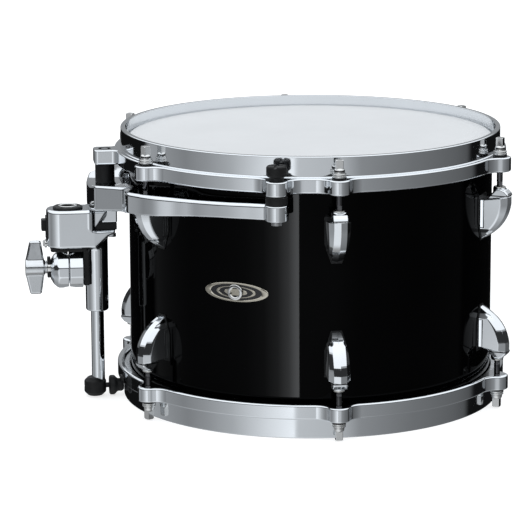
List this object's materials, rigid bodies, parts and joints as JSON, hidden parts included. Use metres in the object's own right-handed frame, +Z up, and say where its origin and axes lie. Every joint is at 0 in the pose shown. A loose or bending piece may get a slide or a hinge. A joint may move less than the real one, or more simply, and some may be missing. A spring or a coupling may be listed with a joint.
{
  "type": "tom tom drum",
  "caption": "Two-headed mounted tom with die-cast hoops, a suspension arm under the batter hoop and an L-rod receiver with wing nut and support rod.",
  "frame": {"origin": "on the drum's axis in the plane of the lower rim, on which the drum stands", "axes": "+Z up along the drum's axis from the resonant to the batter head, the suspension mount on the -X side, one lug facing -Y"},
  "size_m": [0.438, 0.3848, 0.2476],
  "materials": {
    "shell_lacquer": "high gloss black lacquer over a maple shell",
    "badge_metal": "satin, plain",
    "bright_steel": "bright plated",
    "head_film": "coated, matt white",
    "aluminium": "extruded, satin",
    "chrome_casting": "chrome plated die casting",
    "rubber": "matt black",
    "plain_steel": "zinc plated",
    "brass": "machined",
    "black_nylon": "moulded black"
  },
  "bodies": {
    "root": {"shell": "shell_lacquer", "vent_eyelet": "bright_steel", "badge": "badge_metal", "batter_film": "head_film", "batter_flesh_hoop": "aluminium", "batter_hoop": "chrome_casting", "resonant_film": "head_film", "resonant_flesh_hoop": "aluminium", "resonant_hoop": "chrome_casting", "batter_lugs": "chrome_casting", "resonant_lugs": "chrome_casting", "lug_gaskets": "rubber", "lug_screws": "plain_steel", "lug_screw_washers": "plain_steel", "swivel_nuts": "brass", "steel_washers": "bright_steel", "nylon_washers": "black_nylon", "mount_arm": "chrome_casting", "centre_spacer": "rubber", "front_spacer": "rubber", "rear_spacer": "rubber", "front_cap": "rubber", "rear_cap": "rubber", "mount_bolts": "plain_steel", "receiver": "chrome_casting", "receiver_pad": "rubber", "receiver_screws": "plain_steel", "l_rod_bush": "bright_steel", "bush_collar": "black_nylon", "end_plug": "black_nylon", "key_screw": "bright_steel", "jaw_liner": "rubber", "jaw_inner": "chrome_casting", "jaw_outer": "chrome_casting", "wing_washer": "bright_steel", "set_screw": "plain_steel"},
    "batter_rod_1": {"batter_rod_1": "bright_steel"},
    "batter_rod_2": {"batter_rod_2": "bright_steel"},
    "batter_rod_3": {"batter_rod_3": "bright_steel"},
    "batter_rod_4": {"batter_rod_4": "bright_steel"},
    "batter_rod_5": {"batter_rod_5": "bright_steel"},
    "batter_rod_6": {"batter_rod_6": "bright_steel"},
    "resonant_rod_1": {"resonant_rod_1": "bright_steel"},
    "resonant_rod_2": {"resonant_rod_2": "bright_steel"},
    "resonant_rod_3": {"resonant_rod_3": "bright_steel"},
    "resonant_rod_4": {"resonant_rod_4": "bright_steel"},
    "resonant_rod_5": {"resonant_rod_5": "bright_steel"},
    "resonant_rod_6": {"resonant_rod_6": "bright_steel"},
    "wing_nut": {"wing_nut": "chrome_casting"},
    "eye_bolt": {"eye_bolt": "plain_steel"},
    "support_rod": {"support_rod": "bright_steel", "rod_cap": "rubber"},
    "bumper_stud": {"bumper_stud": "plain_steel"},
    "bumper_knob": {"bumper_knob": "rubber"}
  },
  "joints": [
    {"name": "turn_batter_rod_1", "type": "hinge", "parent": "root", "child": "batter_rod_1", "pos_m": [0, -0.1811, 0.2338], "axis": [0, 0, 1], "continuous": true},
    {"name": "turn_batter_rod_2", "type": "hinge", "parent": "root", "child": "batter_rod_2", "pos_m": [0.15684, -0.09055, 0.2338], "axis": [0, 0, 1], "continuous": true},
    {"name": "turn_batter_rod_3", "type": "hinge", "parent": "root", "child": "batter_rod_3", "pos_m": [0.15684, 0.09055, 0.2338], "axis": [0, 0, 1], "continuous": true},
    {"name": "turn_batter_rod_4", "type": "hinge", "parent": "root", "child": "batter_rod_4", "pos_m": [0, 0.1811, 0.2338], "axis": [0, 0, 1], "continuous": true},
    {"name": "turn_batter_rod_5", "type": "hinge", "parent": "root", "child": "batter_rod_5", "pos_m": [-0.15684, 0.09055, 0.2338], "axis": [0, 0, 1], "continuous": true},
    {"name": "turn_batter_rod_6", "type": "hinge", "parent": "root", "child": "batter_rod_6", "pos_m": [-0.15684, -0.09055, 0.2338], "axis": [0, 0, 1], "continuous": true},
    {"name": "turn_resonant_rod_1", "type": "hinge", "parent": "root", "child": "resonant_rod_1", "pos_m": [0, -0.1811, 0.0138], "axis": [0, 0, 1], "continuous": true},
    {"name": "turn_resonant_rod_2", "type": "hinge", "parent": "root", "child": "resonant_rod_2", "pos_m": [0.15684, -0.09055, 0.0138], "axis": [0, 0, 1], "continuous": true},
    {"name": "turn_resonant_rod_3", "type": "hinge", "parent": "root", "child": "resonant_rod_3", "pos_m": [0.15684, 0.09055, 0.0138], "axis": [0, 0, 1], "continuous": true},
    {"name": "turn_resonant_rod_4", "type": "hinge", "parent": "root", "child": "resonant_rod_4", "pos_m": [0, 0.1811, 0.0138], "axis": [0, 0, 1], "continuous": true},
    {"name": "turn_resonant_rod_5", "type": "hinge", "parent": "root", "child": "resonant_rod_5", "pos_m": [-0.15684, 0.09055, 0.0138], "axis": [0, 0, 1], "continuous": true},
    {"name": "turn_resonant_rod_6", "type": "hinge", "parent": "root", "child": "resonant_rod_6", "pos_m": [-0.15684, -0.09055, 0.0138], "axis": [0, 0, 1], "continuous": true},
    {"name": "wing_nut_turn", "type": "hinge", "parent": "root", "child": "wing_nut", "pos_m": [-0.2446, 0, 0.1218], "axis": [-1, 0, 0], "range_deg": [0, 450]},
    {"name": "eye_bolt_slide", "type": "slide", "parent": "root", "child": "eye_bolt", "axis": [1, 0, 0], "range_m": [0, 0.0016]},
    {"name": "support_rod_slide", "type": "slide", "parent": "root", "child": "support_rod", "axis": [0, 0, 1], "range_m": [-0.025, 0]},
    {"name": "bumper_stud_slide", "type": "slide", "parent": "support_rod", "child": "bumper_stud", "axis": [-1, 0, 0], "range_m": [0, 0.00241]},
    {"name": "bumper_knob_turn", "type": "hinge", "parent": "bumper_stud", "child": "bumper_knob", "pos_m": [-0.1821, 0, 0.0096], "axis": [-1, 0, 0], "range_deg": [0, 1080]}
  ],
  "couplings": [
    {"joint": "eye_bolt_slide", "follows": "wing_nut_turn", "m_per_rad": 0.00019894},
    {"joint": "bumper_stud_slide", "follows": "bumper_knob_turn", "m_per_rad": 0.00012732}
  ]
}
